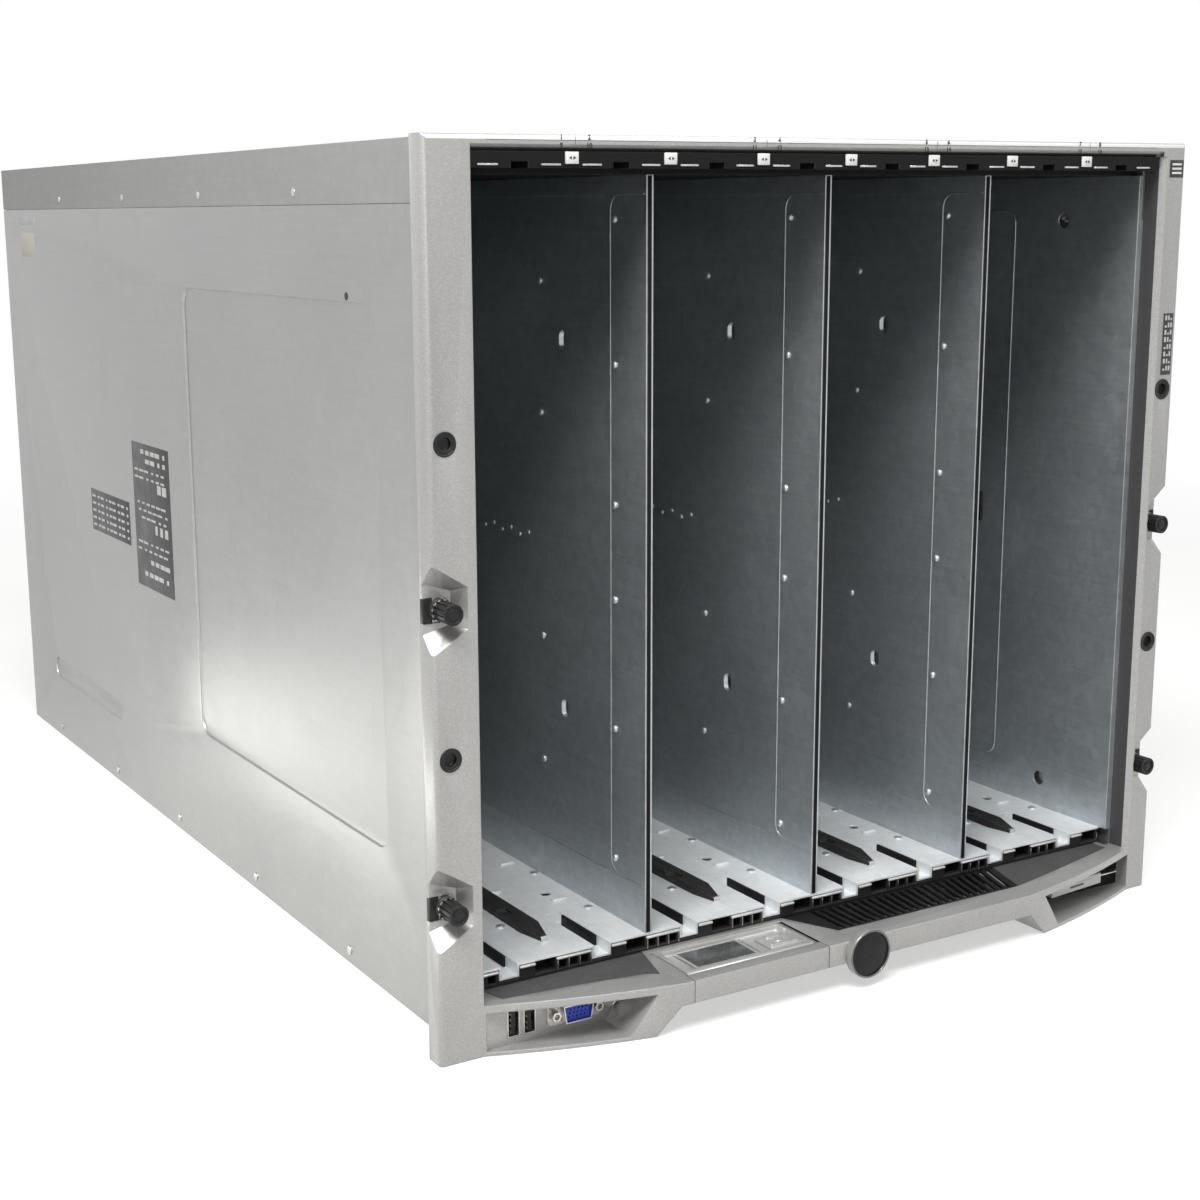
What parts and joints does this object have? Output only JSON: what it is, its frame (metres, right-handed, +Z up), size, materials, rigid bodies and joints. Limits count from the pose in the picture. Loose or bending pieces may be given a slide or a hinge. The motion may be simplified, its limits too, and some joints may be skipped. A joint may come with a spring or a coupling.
{
  "type": "blade server chassis",
  "caption": "Rack enclosure with open double-width blade bays, bowed front bezel with tilting display drawer, and hot-swap rear modules.",
  "frame": {"origin": "centre of the overall box at the base plane", "axes": "+X to the right seen from the front, +Y from the front bezel to the rear, +Z up"},
  "size_m": [0.4826, 0.823, 0.4405],
  "materials": {
    "galvanised": "satin",
    "silver_paint": "satin",
    "dark_plastic": "matte",
    "black_gloss": "gloss",
    "silver_plastic": "satin",
    "socket_steel": "satin",
    "blue_plastic": "matte",
    "display_glass": "gloss",
    "board": "satin",
    "white_plastic": "satin"
  },
  "bodies": {
    "enclosure": {"base_pan": "galvanised", "left_side_panel": "galvanised", "right_side_panel": "galvanised", "top_cover": "galvanised", "front_bezel": "silver_paint", "bay_liners": "galvanised", "bay_floor": "galvanised", "left_divider": "galvanised", "center_divider": "galvanised", "right_divider": "galvanised", "bay_ceiling": "galvanised", "ceiling_guide_rail": "dark_plastic", "floor_guide_rails": "dark_plastic", "floor_connector_strip": "dark_plastic", "left_deck_plate": "dark_plastic", "right_deck_grille": "dark_plastic", "connector_panel": "galvanised", "usb_ports": "socket_steel", "vga_port": "blue_plastic", "badge_disc": "black_gloss", "midplane": "board", "rear_cage": "galvanised", "switch_bay_covers": "galvanised"},
    "drawer": {"display_drawer": "silver_plastic"},
    "display": {"display_panel": "silver_plastic", "display_screen": "display_glass"},
    "keypad": {"display_keypad": "silver_plastic"},
    "power_key": {"power_button": "silver_plastic"},
    "tag": {"information_tag": "white_plastic"},
    "screw_lower_left": {"thumbscrew_lower_left": "dark_plastic"},
    "screw_lower_right": {"thumbscrew_lower_right": "dark_plastic"},
    "screw_upper_left": {"thumbscrew_upper_left": "dark_plastic"},
    "screw_upper_right": {"thumbscrew_upper_right": "dark_plastic"},
    "supply_1": {"power_supply_1": "galvanised"},
    "supply_2": {"power_supply_2": "galvanised"},
    "supply_3": {"power_supply_3": "galvanised"},
    "supply_4": {"power_supply_4": "galvanised"},
    "supply_5": {"power_supply_5": "galvanised"},
    "supply_6": {"power_supply_6": "galvanised"},
    "left_control": {"left_controller": "galvanised"},
    "center_control": {"center_controller": "galvanised"},
    "right_control": {"right_controller": "galvanised"},
    "fan_unit_1": {"fan_1": "dark_plastic"},
    "fan_unit_2": {"fan_2": "dark_plastic"},
    "fan_unit_3": {"fan_3": "dark_plastic"},
    "fan_unit_4": {"fan_4": "dark_plastic"},
    "fan_unit_5": {"fan_5": "dark_plastic"},
    "fan_unit_6": {"fan_6": "dark_plastic"},
    "fan_unit_7": {"fan_7": "dark_plastic"},
    "fan_unit_8": {"fan_8": "dark_plastic"},
    "fan_unit_9": {"fan_9": "dark_plastic"},
    "rotor_1": {"fan_rotor_1": "dark_plastic"},
    "rotor_2": {"fan_rotor_2": "dark_plastic"},
    "rotor_3": {"fan_rotor_3": "dark_plastic"},
    "rotor_4": {"fan_rotor_4": "dark_plastic"},
    "rotor_5": {"fan_rotor_5": "dark_plastic"},
    "rotor_6": {"fan_rotor_6": "dark_plastic"},
    "rotor_7": {"fan_rotor_7": "dark_plastic"},
    "rotor_8": {"fan_rotor_8": "dark_plastic"},
    "rotor_9": {"fan_rotor_9": "dark_plastic"}
  },
  "joints": [
    {"name": "drawer_slide", "type": "slide", "parent": "enclosure", "child": "drawer", "axis": [0, -1, 0], "range_m": [0, 0.03]},
    {"name": "display_tilt", "type": "hinge", "parent": "drawer", "child": "display", "pos_m": [-0.06875, -0.39475, 0.0228], "axis": [1, 0, 0], "range_deg": [0, 90]},
    {"name": "keypad_press", "type": "slide", "parent": "display", "child": "keypad", "axis": [0, 0, -1], "range_m": [0, 0.0005], "stiffness_N_per_m": 200, "springref_m": -0.001},
    {"name": "power_press", "type": "slide", "parent": "enclosure", "child": "power_key", "axis": [0, 1, 0], "range_m": [0, 0.0015], "stiffness_N_per_m": 200, "springref_m": -0.002},
    {"name": "tag_slide", "type": "slide", "parent": "enclosure", "child": "tag", "axis": [0, -1, 0], "range_m": [0, 0.045]},
    {"name": "screw_lower_left_turn", "type": "hinge", "parent": "enclosure", "child": "screw_lower_left", "pos_m": [-0.23255, -0.37805, 0.078], "axis": [0, -1, 0], "continuous": true},
    {"name": "screw_lower_right_turn", "type": "hinge", "parent": "enclosure", "child": "screw_lower_right", "pos_m": [0.23255, -0.37805, 0.078], "axis": [0, -1, 0], "continuous": true},
    {"name": "screw_upper_left_turn", "type": "hinge", "parent": "enclosure", "child": "screw_upper_left", "pos_m": [-0.23255, -0.37805, 0.2245], "axis": [0, -1, 0], "continuous": true},
    {"name": "screw_upper_right_turn", "type": "hinge", "parent": "enclosure", "child": "screw_upper_right", "pos_m": [0.23255, -0.37805, 0.2245], "axis": [0, -1, 0], "continuous": true},
    {"name": "supply_1_slide", "type": "slide", "parent": "enclosure", "child": "supply_1", "axis": [0, 1, 0], "range_m": [0, 0.27]},
    {"name": "supply_2_slide", "type": "slide", "parent": "enclosure", "child": "supply_2", "axis": [0, 1, 0], "range_m": [0, 0.27]},
    {"name": "supply_3_slide", "type": "slide", "parent": "enclosure", "child": "supply_3", "axis": [0, 1, 0], "range_m": [0, 0.27]},
    {"name": "supply_4_slide", "type": "slide", "parent": "enclosure", "child": "supply_4", "axis": [0, 1, 0], "range_m": [0, 0.27]},
    {"name": "supply_5_slide", "type": "slide", "parent": "enclosure", "child": "supply_5", "axis": [0, 1, 0], "range_m": [0, 0.27]},
    {"name": "supply_6_slide", "type": "slide", "parent": "enclosure", "child": "supply_6", "axis": [0, 1, 0], "range_m": [0, 0.27]},
    {"name": "left_control_slide", "type": "slide", "parent": "enclosure", "child": "left_control", "axis": [0, 1, 0], "range_m": [0, 0.2]},
    {"name": "center_control_slide", "type": "slide", "parent": "enclosure", "child": "center_control", "axis": [0, 1, 0], "range_m": [0, 0.2]},
    {"name": "right_control_slide", "type": "slide", "parent": "enclosure", "child": "right_control", "axis": [0, 1, 0], "range_m": [0, 0.2]},
    {"name": "fan_unit_1_slide", "type": "slide", "parent": "enclosure", "child": "fan_unit_1", "axis": [0, 1, 0], "range_m": [0, 0.12]},
    {"name": "fan_unit_2_slide", "type": "slide", "parent": "enclosure", "child": "fan_unit_2", "axis": [0, 1, 0], "range_m": [0, 0.12]},
    {"name": "fan_unit_3_slide", "type": "slide", "parent": "enclosure", "child": "fan_unit_3", "axis": [0, 1, 0], "range_m": [0, 0.12]},
    {"name": "fan_unit_4_slide", "type": "slide", "parent": "enclosure", "child": "fan_unit_4", "axis": [0, 1, 0], "range_m": [0, 0.12]},
    {"name": "fan_unit_5_slide", "type": "slide", "parent": "enclosure", "child": "fan_unit_5", "axis": [0, 1, 0], "range_m": [0, 0.12]},
    {"name": "fan_unit_6_slide", "type": "slide", "parent": "enclosure", "child": "fan_unit_6", "axis": [0, 1, 0], "range_m": [0, 0.12]},
    {"name": "fan_unit_7_slide", "type": "slide", "parent": "enclosure", "child": "fan_unit_7", "axis": [0, 1, 0], "range_m": [0, 0.12]},
    {"name": "fan_unit_8_slide", "type": "slide", "parent": "enclosure", "child": "fan_unit_8", "axis": [0, 1, 0], "range_m": [0, 0.12]},
    {"name": "fan_unit_9_slide", "type": "slide", "parent": "enclosure", "child": "fan_unit_9", "axis": [0, 1, 0], "range_m": [0, 0.12]},
    {"name": "rotor_1_spin", "type": "hinge", "parent": "fan_unit_1", "child": "rotor_1", "pos_m": [-0.17997, 0.32755, 0.2009], "axis": [0, 1, 0], "continuous": true},
    {"name": "rotor_2_spin", "type": "hinge", "parent": "fan_unit_2", "child": "rotor_2", "pos_m": [0, 0.32755, 0.2009], "axis": [0, 1, 0], "continuous": true},
    {"name": "rotor_3_spin", "type": "hinge", "parent": "fan_unit_3", "child": "rotor_3", "pos_m": [0.17997, 0.32755, 0.2009], "axis": [0, 1, 0], "continuous": true},
    {"name": "rotor_4_spin", "type": "hinge", "parent": "fan_unit_4", "child": "rotor_4", "pos_m": [-0.17997, 0.32755, 0.2839], "axis": [0, 1, 0], "continuous": true},
    {"name": "rotor_5_spin", "type": "hinge", "parent": "fan_unit_5", "child": "rotor_5", "pos_m": [0, 0.32755, 0.2839], "axis": [0, 1, 0], "continuous": true},
    {"name": "rotor_6_spin", "type": "hinge", "parent": "fan_unit_6", "child": "rotor_6", "pos_m": [0.17997, 0.32755, 0.2839], "axis": [0, 1, 0], "continuous": true},
    {"name": "rotor_7_spin", "type": "hinge", "parent": "fan_unit_7", "child": "rotor_7", "pos_m": [-0.17997, 0.32755, 0.3981], "axis": [0, 1, 0], "continuous": true},
    {"name": "rotor_8_spin", "type": "hinge", "parent": "fan_unit_8", "child": "rotor_8", "pos_m": [0, 0.32755, 0.3981], "axis": [0, 1, 0], "continuous": true},
    {"name": "rotor_9_spin", "type": "hinge", "parent": "fan_unit_9", "child": "rotor_9", "pos_m": [0.17997, 0.32755, 0.3981], "axis": [0, 1, 0], "continuous": true}
  ]
}
